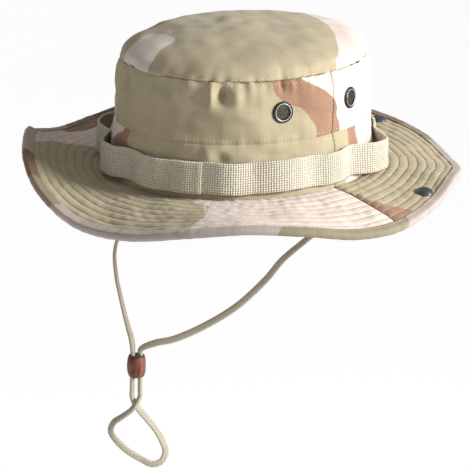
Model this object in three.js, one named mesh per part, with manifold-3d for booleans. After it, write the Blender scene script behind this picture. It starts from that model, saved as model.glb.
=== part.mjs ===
// Boonie hat: soft crown, quilted brim, webbing foliage loops, screened vents, and a chin cord
// with a leather slider. Millimetres. +Z is up, -Y is the front, +X is the wearer's left ear.
// The origin is the middle of the head opening, where the crown meets the brim.
import * as THREE from 'three';
import { mergeVertices } from 'three/addons/utils/BufferGeometryUtils.js';
import Module from 'manifold-3d';

const wasm = await Module();
wasm.setup();

// ---------------------------------------------------------------- driving dimensions
const HEAD_HALF_WIDTH = 87; // outside of the crown at the brim joint, across the ears
const HEAD_HALF_LENGTH = 103; // the same, front to back
const BAND_HEIGHT = 39; // lower crown panel
const SIDE_HEIGHT = 41; // upper crown panel
const BAND_LEAN = 4; // how far the lower panel leans in over its height
const SIDE_LEAN = 4; // the same for the upper panel
const TOP_RISE = 21; // dome of the stuffed top panel over its seam
const BRIM_WIDTH = 63;
const CLOTH = 1; // crown cloth
const BRIM_SKIN = 0.8;
const INTERLINING = 1.2;
const SWEATBAND_THICKNESS = 1.4;
const SWEATBAND_HEIGHT = 32;
const SEAM_BINDING_WIDTH = 8;
const BINDING_WIDTH = 7;
const BINDING_THICKNESS = 0.8;
const WEBBING_WIDTH = 22;
const WEBBING_THICKNESS = 1.6;
const WEBBING_LIFT = 5; // lower edge of the webbing over the brim joint
// Where the webbing is tacked to the crown, in degrees of turn, and how far the loop after each
// tack stands off. Its first end lies under its last between the last tack and the first.
const TACKS = [-60, -38, -12, 9, 46, 70, 94, 118, 142, 166, 190, 230, 264, 286];
const LOOP_BULGES = [2.6, 3.2, 3, 12, 1.8, 5, 5.5, 5.5, 6, 7, 12, 8, 3];
const VENT_BELOW_SEAM = 21; // from the top seam down to a vent's centre
const VENT_AHEAD = 43; // from the ear seam to the vent ahead of it
const VENT_BEHIND = 22; // and to the vent behind it
const VENT_RADIUS = 7.9;
const VENT_BORE = 5.4;
const VENT_BARREL_WALL = 0.6;
const SNAP_RADIUS = 6;
const SNAP_MARGIN = 0.7; // from the brim's binding to a snap
const SNAP_TURN = 18; // degrees that the side snaps sit behind the ears
const SNAP_POST_RADIUS = 1.7;
const SOCKET_RADIUS = 5.5;
const SOCKET_HEIGHT = 3;
const CORD_DIAMETER = 3.6;
const SLIDER_HEIGHT = 16;
const SLIDER_RADIUS = 6.7;
const ANCHOR_SIZE = [9, 12, 2.4];
const ANCHOR_REACH = 3; // from the foot of the crown out to the middle of an anchor

// ---------------------------------------------------------------- clearances and fineness
const GAP = 0.3; // between pieces that touch
const BINDING_GAP = 0.6; // between the brim's layers and the tape folded over them
const CORD_CLEARANCE = 0.5; // round the cord in the slider's bores
const POST_CLEARANCE = 0.4; // round a snap's post
const ANCHOR_DROP = 1.3; // between an anchor and a brim that sags beside it
const WALL_SAG = 0.7; // how far the crown wall curves away across a vent
const TURN_STEPS = 60; // facets round the hat
const VENT_STEPS = 16;

const CROWN_HEIGHT = BAND_HEIGHT + SIDE_HEIGHT;
const VENT_HEIGHT = CROWN_HEIGHT - VENT_BELOW_SEAM;
const BRIM_STACK = 2 * BRIM_SKIN + INTERLINING + 2 * GAP;
const HALF_TURN_GAP = GAP / 2 / HEAD_HALF_LENGTH; // half the gap at an ear seam, as a turn

// Height of the brim's edge every 15 degrees, from the left ear by way of the back.
const EDGE_HEIGHTS = [
  -14, -7, 2, -4, -8, -2.5, 2.5, 6, 1, -3, 1, 8,
  4, 3, 12, 24, 17, 2, -11, -11, -4, 0, -4, -12,
];

// The chin cord from its right anchor, through the slider, round the loose loop and back
// through the slider to its left anchor.
const CORD_ROUTE = [
  [-90, 0, -8], [-90, -4, -24], [-90, -19, -49], [-86, -40, -76], [-75, -50, -92],
  [-63, -57, -105], [-52, -64, -113], [-40, -72, -119], [-30, -79, -123], [-25, -83, -128],
  [-25, -83, -133], [-25, -83, -159], [-25, -83, -164], [-25, -77, -174], [-20, -72, -183],
  [-15, -68, -191], [-11, -65, -200], [-9, -64, -207], [-10, -67, -214], [-14, -72, -216],
  [-20, -78, -212], [-26, -86, -205], [-31, -92, -197], [-33, -96, -189], [-31, -95, -182],
  [-26, -91, -177], [-22, -86, -172], [-21, -79, -164], [-21, -79, -159], [-21, -79, -133],
  [-21, -79, -128], [-12, -74, -122], [-1, -67, -118], [15, -56, -108], [36, -42, -90],
  [52, -30, -69], [62, -24, -53], [74, -14, -38], [87, -3, -22], [90, 0, -8],
];
const CORD_STEPS = 80;
const SLIDER_CENTRE = [-23, -81, -140];
const BORE_OFFSET = [2, 2]; // from the slider's axis to each of its bores, along X and Y

const LEFT = 0;
const BACK = Math.PI / 2;
const RIGHT = Math.PI;
const DEGREE = Math.PI / 180;

// ---------------------------------------------------------------- finishes
const finish = (color, roughness, metalness = 0) => ({ color, roughness, metalness });
const KHAKI = finish(0xc9bea0, 0.9);
const SAND = finish(0xe2d3c4, 0.9);
const LINING = finish(0xd3cbb4, 0.95);
const WEBBING = finish(0xbdb795, 0.95);
const BLACK_METAL = finish(0x24272a, 0.45, 0.7);
const MESH_METAL = finish(0x5a5d5e, 0.5, 0.8);
const BRASS = finish(0x8f7a45, 0.4, 0.9);
const SNAP_ENAMEL = finish(0x3c4349, 0.4, 0.5);
const CORD_FIBRE = finish(0xa39c84, 0.9);
const LEATHER = finish(0x6e3a22, 0.6);

const hat = new THREE.Group();

function addPiece(name, geometry, look) {
  const mesh = new THREE.Mesh(geometry, new THREE.MeshStandardMaterial(look));
  mesh.name = name;
  hat.add(mesh);
  return mesh;
}

// ---------------------------------------------------------------- the hat's surfaces
// A point on an oval round the head, moved outwards along the oval's own normal.
function ovalPoint(turn, lean, out, height) {
  const halfWidth = HEAD_HALF_WIDTH - lean;
  const halfLength = HEAD_HALF_LENGTH - lean;
  const normal = new THREE.Vector3(Math.cos(turn) / halfWidth, Math.sin(turn) / halfLength, 0);
  const point = new THREE.Vector3(halfWidth * Math.cos(turn), halfLength * Math.sin(turn), height);
  return point.addScaledVector(normal.normalize(), out);
}

function wallLean(up) {
  const overBand = Math.min(up, BAND_HEIGHT) / BAND_HEIGHT;
  const overSide = Math.max(up - BAND_HEIGHT, 0) / SIDE_HEIGHT;
  return BAND_LEAN * overBand + SIDE_LEAN * overSide;
}

// On the crown wall: out is zero on the cloth's outer face.
const crownPoint = (turn, up, out) => ovalPoint(turn, wallLean(up), out, up);

// Height of the brim's edge at a turn, a smooth curve through EDGE_HEIGHTS.
function edgeHeight(turn) {
  const count = EDGE_HEIGHTS.length;
  const place = THREE.MathUtils.euclideanModulo((turn / (2 * Math.PI)) * count, count);
  const first = Math.floor(place);
  const t = place - first;
  const [a, b, c, d] = [-1, 0, 1, 2].map((k) => EDGE_HEIGHTS[(first + k + count) % count]);
  const slopeB = (c - a) / 2;
  const slopeC = (d - b) / 2;
  return (
    b + t * (slopeB + t * (3 * (c - b) - 2 * slopeB - slopeC + t * (2 * (b - c) + slopeB + slopeC)))
  );
}

// On the brim: reach runs from the crown's outer face to the edge, lift is zero on its top face.
function brimPoint(turn, lift, reach) {
  const edge = edgeHeight(turn);
  const share = Math.max(reach, 0) / BRIM_WIDTH;
  const slope = (1.5 * edge * Math.sqrt(share)) / BRIM_WIDTH;
  const flatShare = Math.sqrt(1 - (edge / BRIM_WIDTH) ** 2);
  const across = reach * flatShare - lift * Math.sin(Math.atan(slope));
  const height = edge * share ** 1.5 + lift * Math.cos(Math.atan(slope));
  return ovalPoint(turn, 0, across, height);
}

// ---------------------------------------------------------------- ways to make a closed piece
// Moves every corner of a closed geometry with place, and joins the corners that meet.
function bend(geometry, place) {
  const corners = geometry.attributes.position;
  for (let i = 0; i < corners.count; i += 1) {
    const point = place(corners.getX(i), corners.getY(i), corners.getZ(i));
    corners.setXYZ(i, point.x, point.y, point.z);
  }
  geometry.deleteAttribute('normal');
  geometry.deleteAttribute('uv');
  const closed = mergeVertices(geometry, 1e-3);
  closed.computeVertexNormals();
  return closed;
}

// A sheet of cloth bent over a surface: a box whose X runs with the turn, Y up and Z outwards.
function bentSheet(surface, turns, ups, outs, rows) {
  const [fromTurn, toTurn] = turns;
  const steps = Math.ceil((TURN_STEPS * Math.abs(toTurn - fromTurn)) / (2 * Math.PI));
  const box = new THREE.BoxGeometry(1, 1, 1, steps, rows.up ?? 1, rows.out ?? 1);
  const { lerp } = THREE.MathUtils;
  return bend(box, (x, y, z) => surface(
    lerp(fromTurn, toTurn, x + 0.5),
    lerp(ups[0], ups[1], y + 0.5),
    lerp(outs[0], outs[1], z + 0.5),
  ));
}

// A ring right round the hat. The section's corners are [out, up], anticlockwise.
function bentRing(surface, section) {
  const spare = HEAD_HALF_LENGTH; // keeps the section off the axis while it is turned
  const corners = [...section, section[0]].map(([out, up]) => new THREE.Vector2(out + spare, up));
  const ring = new THREE.LatheGeometry(corners, TURN_STEPS);
  ring.rotateX(Math.PI / 2);
  return bend(ring, (x, y, z) => surface(Math.atan2(y, x), z, Math.hypot(x, y) - spare));
}

const rectangle = (inner, outer, bottom, top) => [
  [inner, bottom], [outer, bottom], [outer, top], [inner, top],
];

// A turned piece about Z. The section's corners are [radius, height], anticlockwise.
function turned(section, steps, closesOnItself) {
  const corners = closesOnItself ? [...section, section[0]] : section;
  const lathe = new THREE.LatheGeometry(corners.map((c) => new THREE.Vector2(...c)), steps);
  lathe.rotateX(Math.PI / 2);
  return bend(lathe, (x, y, z) => new THREE.Vector3(x, y, z));
}

function drill(radius, length, steps) {
  const half = length / 2;
  return turned([[0, -half], [radius, -half], [radius, half], [0, half]], steps, false);
}

function toSolid(geometry) {
  const vertProperties = new Float32Array(geometry.attributes.position.array);
  const triVerts = new Uint32Array(geometry.index.array);
  return new wasm.Manifold(new wasm.Mesh({ numProp: 3, vertProperties, triVerts }));
}

function fromSolid(solid) {
  const mesh = solid.getMesh();
  const geometry = new THREE.BufferGeometry();
  geometry.setAttribute('position', new THREE.BufferAttribute(mesh.vertProperties, 3));
  geometry.setIndex(new THREE.BufferAttribute(mesh.triVerts, 1));
  geometry.computeVertexNormals();
  return geometry;
}

function cut(geometry, cutters) {
  const cutSolid = cutters.reduce(
    (solid, cutter) => solid.subtract(toSolid(cutter)),
    toSolid(geometry),
  );
  return fromSolid(cutSolid);
}

// A frame at origin: X along the turn, Z along the surface's normal.
function frameAt(origin, nextAlong, nextAcross) {
  const along = nextAlong.sub(origin).normalize();
  const normal = new THREE.Vector3().crossVectors(along, nextAcross.sub(origin)).normalize();
  const across = new THREE.Vector3().crossVectors(normal, along);
  return new THREE.Matrix4().makeBasis(along, across, normal).setPosition(origin);
}

const SMALL_TURN = 0.01;

function wallFrame(turn, up) {
  return frameAt(
    crownPoint(turn, up, 0),
    crownPoint(turn + SMALL_TURN, up, 0),
    crownPoint(turn, up + 1, 0),
  );
}

function brimFrame(turn, reach) {
  return frameAt(
    brimPoint(turn, 0, reach),
    brimPoint(turn + SMALL_TURN, 0, reach),
    brimPoint(turn, 0, reach - 1),
  );
}

const placed = (geometry, frame) => geometry.clone().applyMatrix4(frame);

// ---------------------------------------------------------------- vents and snaps: where they go
const sideHalfLength = HEAD_HALF_LENGTH - wallLean(VENT_HEIGHT);
const VENTS = [
  ['left_front', LEFT - VENT_AHEAD / sideHalfLength],
  ['left_rear', LEFT + VENT_BEHIND / sideHalfLength],
  ['right_front', RIGHT + VENT_AHEAD / sideHalfLength],
  ['right_rear', RIGHT - VENT_BEHIND / sideHalfLength],
].map(([name, turn]) => ({ name, frame: wallFrame(turn, VENT_HEIGHT) }));

const snapReach = BRIM_WIDTH - BINDING_WIDTH - SNAP_MARGIN - SNAP_RADIUS;
const SNAPS = [
  ['left', LEFT + SNAP_TURN * DEGREE],
  ['back', BACK],
  ['right', RIGHT - SNAP_TURN * DEGREE],
].map(([name, turn]) => ({ name, frame: brimFrame(turn, snapReach) }));

const barrelRadius = VENT_BORE + VENT_BARREL_WALL;
const ventDrills = VENTS.map((vent) => placed(
  drill(barrelRadius + GAP, 8 * CLOTH, VENT_STEPS),
  vent.frame,
));
const postDrills = SNAPS.map((snap) => placed(
  drill(SNAP_POST_RADIUS + POST_CLEARANCE, 4 * BRIM_STACK, 8),
  snap.frame,
));

// ---------------------------------------------------------------- crown
const FRONT_HALF = [RIGHT + HALF_TURN_GAP, 2 * Math.PI - HALF_TURN_GAP];
const BACK_HALF = [LEFT + HALF_TURN_GAP, RIGHT - HALF_TURN_GAP];
const inFront = (vent) => vent.name.endsWith('front');

function addCrown() {
  const wall = [-CLOTH, 0];
  const bandUps = [GAP, BAND_HEIGHT - GAP / 2];
  const sideUps = [BAND_HEIGHT + GAP / 2, CROWN_HEIGHT - GAP];
  const frontDrills = ventDrills.filter((drillHole, i) => inFront(VENTS[i]));
  const backDrills = ventDrills.filter((drillHole, i) => !inFront(VENTS[i]));
  addPiece('crown_band_front', bentSheet(crownPoint, FRONT_HALF, bandUps, wall, { up: 1 }), KHAKI);
  addPiece('crown_band_back', bentSheet(crownPoint, BACK_HALF, bandUps, wall, { up: 1 }), KHAKI);
  const sideFront = bentSheet(crownPoint, FRONT_HALF, sideUps, wall, { up: 1 });
  const sideBack = bentSheet(crownPoint, BACK_HALF, sideUps, wall, { up: 1 });
  addPiece('crown_side_front', cut(sideFront, frontDrills), KHAKI);
  addPiece('crown_side_back', cut(sideBack, backDrills), SAND);
  addPiece('crown_top', topPanel(), KHAKI);
  const bindingOuts = [-CLOTH - GAP - BRIM_SKIN, -CLOTH - GAP];
  const bindingUps = [CROWN_HEIGHT - GAP - SEAM_BINDING_WIDTH, CROWN_HEIGHT - GAP];
  const seamBinding = bentRing(crownPoint, rectangle(...bindingOuts, ...bindingUps));
  addPiece('top_seam_binding', seamBinding, LINING);
}

// The domed oval on top: turned as a unit dome, then fitted to the crown's oval.
function topPanel() {
  const rings = 6;
  const dome = (k) => {
    const angle = (k / rings) * (Math.PI / 2);
    return [Math.cos(angle) ** 0.9, Math.sin(angle)];
  };
  const outer = Array.from({ length: rings + 1 }, (unused, k) => dome(k));
  outer[rings][0] = 0;
  const skins = [
    ...outer.toReversed().map(([share, rise]) => [share, rise, -1]),
    ...outer.map(([share, rise]) => [share, rise, 0]),
  ];
  const section = skins.map(([share, rise, skin]) => [share, rise * TOP_RISE + skin * CLOTH]);
  const lathe = new THREE.LatheGeometry(section.map((c) => new THREE.Vector2(...c)), TURN_STEPS);
  lathe.rotateX(Math.PI / 2);
  const lean = wallLean(CROWN_HEIGHT);
  return bend(lathe, (x, y, z) => new THREE.Vector3(
    x * (HEAD_HALF_WIDTH - lean),
    y * (HEAD_HALF_LENGTH - lean),
    CROWN_HEIGHT + CLOTH + z,
  ));
}

function addSweatband() {
  const outer = -CLOTH - GAP;
  const inner = outer - SWEATBAND_THICKNESS;
  const section = rectangle(inner, outer, -BRIM_STACK, SWEATBAND_HEIGHT - BRIM_STACK);
  addPiece('sweatband', bentRing((turn, up, out) => crownPoint(turn, Math.max(up, 0), out)
    .setZ(up), section), LINING);
}

// ---------------------------------------------------------------- brim
function addBrim() {
  const edge = BRIM_WIDTH - BINDING_THICKNESS - BINDING_GAP;
  const reaches = [-CLOTH, edge];
  const interliningTop = -BRIM_SKIN - GAP;
  const underTop = interliningTop - INTERLINING - GAP;
  const rows = { out: 4 };
  const topLifts = [-BRIM_SKIN, 0];
  const underLifts = [-BRIM_STACK, underTop];
  const drilled = (sheet) => cut(sheet, postDrills);
  const sheet = (half, lifts) => bentSheet(brimPoint, half, lifts, reaches, rows);
  addPiece('brim_top_front', sheet(FRONT_HALF, topLifts), SAND);
  addPiece('brim_top_back', drilled(sheet(BACK_HALF, topLifts)), KHAKI);
  addPiece('brim_under_front', sheet(FRONT_HALF, underLifts), SAND);
  addPiece('brim_under_back', drilled(sheet(BACK_HALF, underLifts)), KHAKI);
  const interliningSection = sectionAlongBrim(reaches, [interliningTop - INTERLINING, interliningTop]);
  addPiece('brim_interlining', drilled(bentRing(brimPoint, interliningSection)), LINING);
  addPiece('brim_binding', bentRing(brimPoint, bindingSection()), KHAKI);
}

// A flat strip's section with enough corners to follow the brim's curve.
function sectionAlongBrim([from, to], [bottom, top]) {
  const shares = [0, 0.25, 0.5, 0.75, 1];
  const reach = (share) => THREE.MathUtils.lerp(from, to, share);
  return [
    ...shares.map((share) => [reach(share), bottom]),
    ...shares.toReversed().map((share) => [reach(share), top]),
  ];
}

// The tape folded over the brim's edge.
function bindingSection() {
  const inner = BRIM_WIDTH - BINDING_WIDTH;
  const fold = BRIM_WIDTH - BINDING_THICKNESS;
  const innerTop = BINDING_GAP;
  const innerBottom = -BRIM_STACK - BINDING_GAP;
  const outerTop = innerTop + BINDING_THICKNESS;
  const outerBottom = innerBottom - BINDING_THICKNESS;
  const round = BINDING_THICKNESS;
  return [
    [inner, outerBottom],
    [BRIM_WIDTH - round, outerBottom],
    [BRIM_WIDTH, outerBottom + round],
    [BRIM_WIDTH, outerTop - round],
    [BRIM_WIDTH - round, outerTop],
    [inner, outerTop],
    [inner, innerTop],
    [fold, innerTop],
    [fold, innerBottom],
    [inner, innerBottom],
  ];
}

// ---------------------------------------------------------------- foliage loops
// How far the webbing stands off the crown at a turn in degrees.
function loopStandOff(turn) {
  const loop = TACKS.findLastIndex((tack) => tack <= turn);
  if (loop < 0 || loop >= LOOP_BULGES.length) return 0;
  const share = (turn - TACKS[loop]) / (TACKS[loop + 1] - TACKS[loop]);
  return LOOP_BULGES[loop] * Math.sin(Math.PI * share) ** 1.5;
}

// One strip of webbing round the crown, tacked down between its loops.
function addFoliageBand() {
  const lastTack = TACKS.at(-1);
  const start = lastTack - 360;
  const end = TACKS[0] + 360;
  const lift = (turn) => THREE.MathUtils.smoothstep(turn, TACKS.at(-2), lastTack);
  const stepsPerLoop = 8;
  const box = new THREE.BoxGeometry(1, 1, 1, stepsPerLoop * TACKS.length, 1, 1);
  const webbing = bend(box, (x, y, z) => {
    const turn = THREE.MathUtils.lerp(start, end, x + 0.5);
    const lap = lift(turn) * (WEBBING_THICKNESS + GAP);
    const standOff = BRIM_SKIN + lap + loopStandOff(turn);
    const up = WEBBING_LIFT + (y + 0.5) * WEBBING_WIDTH;
    return crownPoint(turn * DEGREE, up, standOff + (z + 0.5) * WEBBING_THICKNESS);
  });
  addPiece('foliage_band', webbing, WEBBING);
}

// ---------------------------------------------------------------- screened vents
function addVents() {
  const seat = -CLOTH - WALL_SAG - GAP;
  const washerThickness = 0.8;
  const flange = turned([
    [VENT_BORE, seat - washerThickness - 0.5],
    [barrelRadius, seat - washerThickness - 0.5],
    [barrelRadius, GAP],
    [VENT_RADIUS, GAP],
    [VENT_RADIUS, 2 * GAP],
    [VENT_RADIUS - 0.8, 1.4],
    [barrelRadius, 1.4],
    [VENT_BORE, 0.8],
  ], VENT_STEPS, true);
  const washer = turned(
    rectangle(barrelRadius + GAP, VENT_RADIUS, seat - washerThickness, seat),
    VENT_STEPS,
    true,
  );
  const screen = turned([
    [0, -CLOTH], [VENT_BORE - GAP, -CLOTH], [VENT_BORE - GAP, -CLOTH / 2], [0, -CLOTH / 2],
  ], VENT_STEPS, false);
  for (const vent of VENTS) {
    addPiece(`vent_flange_${vent.name}`, placed(flange, vent.frame), BLACK_METAL);
    addPiece(`vent_screen_${vent.name}`, placed(screen, vent.frame), MESH_METAL);
    addPiece(`vent_washer_${vent.name}`, placed(washer, vent.frame), BRASS);
  }
}

// ---------------------------------------------------------------- brim snaps
function addSnaps() {
  const postEnd = -BRIM_STACK - SOCKET_HEIGHT / 2;
  const socketTop = -BRIM_STACK - 2 * GAP;
  const socketBottom = socketTop - SOCKET_HEIGHT;
  const studRadius = 3.2;
  const studFloor = postEnd - GAP;
  const cap = turned([
    [0, postEnd],
    [SNAP_POST_RADIUS, postEnd],
    [SNAP_POST_RADIUS, 2 * GAP],
    [SNAP_RADIUS, 2 * GAP],
    [SNAP_RADIUS, 1.3],
    [0.8 * SNAP_RADIUS, 2.6],
    [0.4 * SNAP_RADIUS, 3.3],
    [0, 3.5],
  ], VENT_STEPS, false);
  const socket = turned([
    [studRadius, socketBottom],
    [SOCKET_RADIUS, socketBottom],
    [SOCKET_RADIUS, socketTop],
    [SNAP_POST_RADIUS + POST_CLEARANCE, socketTop],
    [SNAP_POST_RADIUS + POST_CLEARANCE, studFloor],
    [studRadius, studFloor],
  ], VENT_STEPS, true);
  for (const snap of SNAPS) {
    addPiece(`snap_cap_${snap.name}`, placed(cap, snap.frame), SNAP_ENAMEL);
    addPiece(`snap_socket_${snap.name}`, placed(socket, snap.frame), BRASS);
  }
}

// ---------------------------------------------------------------- chin cord and slider
function addChinCord() {
  const section = new THREE.Shape();
  section.absellipse(0, 0, CORD_DIAMETER / 2, CORD_DIAMETER / 2, 0, 2 * Math.PI, false);
  const route = CORD_ROUTE.map((point) => new THREE.Vector3(...point));
  const path = new THREE.CatmullRomCurve3(route, false, 'centripetal');
  const tube = new THREE.ExtrudeGeometry(section, {
    steps: CORD_STEPS,
    curveSegments: 4,
    extrudePath: path,
    bevelEnabled: false,
  });
  addPiece('chin_cord', bend(tube, (x, y, z) => new THREE.Vector3(x, y, z)), CORD_FIBRE);
}

function addSlider() {
  const half = SLIDER_HEIGHT / 2;
  const barrel = turned([
    [0, -half],
    [0.72 * SLIDER_RADIUS, -half],
    [0.92 * SLIDER_RADIUS, -0.75 * half],
    [SLIDER_RADIUS, -0.3 * half],
    [SLIDER_RADIUS, 0.3 * half],
    [0.92 * SLIDER_RADIUS, 0.75 * half],
    [0.72 * SLIDER_RADIUS, half],
    [0, half],
  ], VENT_STEPS, false);
  const bore = drill(CORD_DIAMETER / 2 + CORD_CLEARANCE, 2 * SLIDER_HEIGHT, 12);
  const bores = [-1, 1].map((side) => placed(
    bore,
    new THREE.Matrix4().makeTranslation(side * BORE_OFFSET[0], side * BORE_OFFSET[1], 0),
  ));
  const slider = addPiece('cord_slider', cut(barrel, bores), LEATHER);
  slider.position.set(...SLIDER_CENTRE);
}

// Stitched tabs under the brim, at the ears, that the cord comes out of.
function addCordAnchors() {
  const reach = HEAD_HALF_WIDTH + ANCHOR_REACH;
  for (const [name, x] of [['right', -reach], ['left', reach]]) {
    const tab = bend(
      new THREE.BoxGeometry(...ANCHOR_SIZE),
      (x, y, z) => new THREE.Vector3(x, y, z),
    );
    const anchor = addPiece(`cord_anchor_${name}`, tab, WEBBING);
    anchor.position.set(x, 0, -BRIM_STACK - ANCHOR_DROP - ANCHOR_SIZE[2] / 2);
  }
}

addCrown();
addSweatband();
addBrim();
addFoliageBand();
addVents();
addSnaps();
addChinCord();
addSlider();
addCordAnchors();

export default hat;
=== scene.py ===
"""Boonie hat: how it looks. Cloth crown and quilted brim in three-colour print, webbing foliage
loops, screened vents, cap snaps, and a flat braided chin cord with a leather slider.
Sizes are in millimetres until a piece is placed, and turns run from the wearer's left ear (+X)
by way of the back (+Y)."""

import math

import bmesh
import bpy
import numpy as np
from mathutils import Matrix, Vector


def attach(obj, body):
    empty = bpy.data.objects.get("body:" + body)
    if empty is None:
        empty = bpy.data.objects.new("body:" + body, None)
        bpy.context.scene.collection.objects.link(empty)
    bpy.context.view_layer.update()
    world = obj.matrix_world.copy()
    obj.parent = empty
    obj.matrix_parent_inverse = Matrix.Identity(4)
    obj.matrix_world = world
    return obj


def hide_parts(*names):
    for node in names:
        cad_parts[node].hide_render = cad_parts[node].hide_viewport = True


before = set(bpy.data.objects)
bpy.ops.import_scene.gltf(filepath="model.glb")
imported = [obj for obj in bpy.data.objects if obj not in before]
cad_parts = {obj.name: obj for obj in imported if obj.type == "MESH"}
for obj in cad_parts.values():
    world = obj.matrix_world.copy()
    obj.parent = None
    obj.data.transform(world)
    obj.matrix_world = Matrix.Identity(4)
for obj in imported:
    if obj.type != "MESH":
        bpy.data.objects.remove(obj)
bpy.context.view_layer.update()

MM = 0.001

# ---------------------------------------------------------------- the hat's sizes
HEAD_HALF_WIDTH = 87
HEAD_HALF_LENGTH = 103
BAND_HEIGHT = 39
SIDE_HEIGHT = 41
CROWN_HEIGHT = BAND_HEIGHT + SIDE_HEIGHT
PANEL_LEAN = 4
TOP_RISE = 21
BRIM_WIDTH = 63
BRIM_STACK = 3.4
CLOTH = 0.8
SEAM_LAP = 0.7
MEAN_RADIUS = 95
# the brim's edge from the left ear round by the back, one height each 15 degrees
EDGE_HEIGHTS = [
    -14, -7, 2, -4, -8, -2.5, 2.5, 6, 1, -3, 1, 8,
    4, 3, 12, 24, 17, 2, -11, -11, -4, 0, -4, -12,
]
ROW_FIRST = 4.5
ROW_PITCH = 6.6
ROW_COUNT = 8
BINDING_WIDTH = 7
TAPE_WIDTH = 18.2
WEBBING_WIDTH = 22
WEBBING_THICKNESS = 1.6
WEBBING_LIFT = 5
# where the webbing is tacked to the crown, in degrees, and how far each loop stands off
TACKS = [-60, -38, -12, 9, 46, 70, 94, 118, 142, 166, 190, 230, 264, 286]
LOOP_BULGES = [2.6, 3.2, 3, 12, 1.8, 5, 5.5, 5.5, 6, 7, 12, 8, 3]
VENT_HEIGHT = 59
VENT_AHEAD = 43
VENT_BEHIND = 22
VENT_RADIUS = 7.9
VENT_BORE = 5.4
VENT_CUT = 6.4
# half the length of the crown's oval at the height of the vents
VENT_HALF_LENGTH = (
    HEAD_HALF_LENGTH - PANEL_LEAN - PANEL_LEAN * (VENT_HEIGHT - BAND_HEIGHT) / SIDE_HEIGHT)
WIRE_PITCH = 1
WIRE_RADIUS = 0.27
WIRE_WAVE = 0.17
SCREEN_LIFT = 0.25
SNAP_RADIUS = 6
SNAP_REACH = BRIM_WIDTH - BINDING_WIDTH - 0.7 - SNAP_RADIUS
SNAP_TURN = math.radians(18)
# the sewn tabs that hold the cord's ends, and how far their undersides lie above the ends
TAB_SIZE = (9, 12, 2.4)
TAB_LIFT = 0.9
LACE_WIDTH = 5.0
LACE_THICKNESS = 2.0
# half the width and thickness of the lace where the slider squeezes it
GATHERED_WIDTH = 1.75
GATHERED_THICKNESS = 1.55
SLIDER_CENTRE = (-23, -81, -140)
SLIDER_RADIUS = 6.7
SLIDER_HEIGHT = 16
# the slider's two holes, and how far each lies from its middle along X and along Y
SLIDER_HOLE_RADIUS = 2
SLIDER_HOLE_OFFSET = 2
CORD_ROUTE = [
    (-90, 0, -8), (-90, -4, -24), (-90, -19, -49), (-86, -40, -76), (-75, -50, -92),
    (-63, -57, -105), (-52, -64, -113), (-40, -72, -119), (-30, -79, -123), (-25, -83, -128),
    (-25, -83, -133), (-25, -83, -159), (-25, -83, -164), (-25, -77, -174), (-20, -72, -183),
    (-15, -68, -191), (-11, -65, -200), (-9, -64, -207), (-10, -67, -214), (-14, -72, -216),
    (-20, -78, -212), (-26, -86, -205), (-31, -92, -197), (-33, -96, -189), (-31, -95, -182),
    (-26, -91, -177), (-22, -86, -172), (-21, -79, -164), (-21, -79, -159), (-21, -79, -133),
    (-21, -79, -128), (-12, -74, -122), (-1, -67, -118), (15, -56, -108), (36, -42, -90),
    (52, -30, -69), (62, -24, -53), (74, -14, -38), (87, -3, -22), (90, 0, -8),
]

# ---------------------------------------------------------------- camera
VIEW_TURN = math.radians(42)
VIEW_RISE = math.radians(18)
VIEW_ROLL = math.radians(1.5)
VIEW_LENS = 204.5
# in metres: how far off the camera stands, and how far aside of the hat's origin and below it
VIEW_DISTANCE = 1.9
VIEW_ASIDE = 0.00498
VIEW_BELOW = 0.0523
VIEW_BACK = Vector((
    math.sin(VIEW_TURN) * math.cos(VIEW_RISE),
    -math.cos(VIEW_TURN) * math.cos(VIEW_RISE),
    math.sin(VIEW_RISE),
))


def add_camera():
    """At the left front of the hat and a little above it."""
    level = Vector((math.cos(VIEW_TURN), math.sin(VIEW_TURN), 0))
    upright = VIEW_BACK.cross(level)
    across = level * math.cos(VIEW_ROLL) + upright * math.sin(VIEW_ROLL)
    up = upright * math.cos(VIEW_ROLL) - level * math.sin(VIEW_ROLL)
    lens = bpy.data.cameras.new("hat_camera")
    lens.lens = VIEW_LENS
    lens.sensor_width = 36
    lens.clip_end = 100
    camera = bpy.data.objects.new("hat_camera", lens)
    bpy.context.collection.objects.link(camera)
    place = Matrix((across, up, VIEW_BACK)).transposed().to_4x4()
    place.translation = VIEW_BACK * VIEW_DISTANCE - across * VIEW_ASIDE - up * VIEW_BELOW
    camera.matrix_world = place
    bpy.context.scene.camera = camera


# ---------------------------------------------------------------- the surfaces that cloth lies on
def oval(turn, lean, out, height):
    """A point on the oval round the head, moved outwards along the oval's own normal."""
    half_width = HEAD_HALF_WIDTH - lean
    half_length = HEAD_HALF_LENGTH - lean
    across, along = np.cos(turn) / half_width, np.sin(turn) / half_length
    size = np.hypot(across, along)
    x = half_width * np.cos(turn) + out * across / size
    y = half_length * np.sin(turn) + out * along / size
    return np.stack([x, y, height + 0 * turn], axis=-1)


def crown_wall(turn, up, out):
    over_band = np.minimum(up, BAND_HEIGHT) / BAND_HEIGHT
    over_side = np.maximum(up - BAND_HEIGHT, 0) / SIDE_HEIGHT
    return oval(turn, PANEL_LEAN * (over_band + over_side), out, up)


def edge_height(turn):
    """Height of the brim's edge, a smooth closed curve through EDGE_HEIGHTS."""
    heights = np.array(EDGE_HEIGHTS, float)
    place = (turn / math.tau * len(heights)) % len(heights)
    first = np.floor(place).astype(int)
    t = place - first
    a, b, c, d = (heights[(first + k) % len(heights)] for k in (-1, 0, 1, 2))
    slope_b, slope_c = (c - a) / 2, (d - b) / 2
    rise = 3 * (c - b) - 2 * slope_b - slope_c + t * (2 * (b - c) + slope_b + slope_c)
    return b + t * (slope_b + t * rise)


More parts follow.
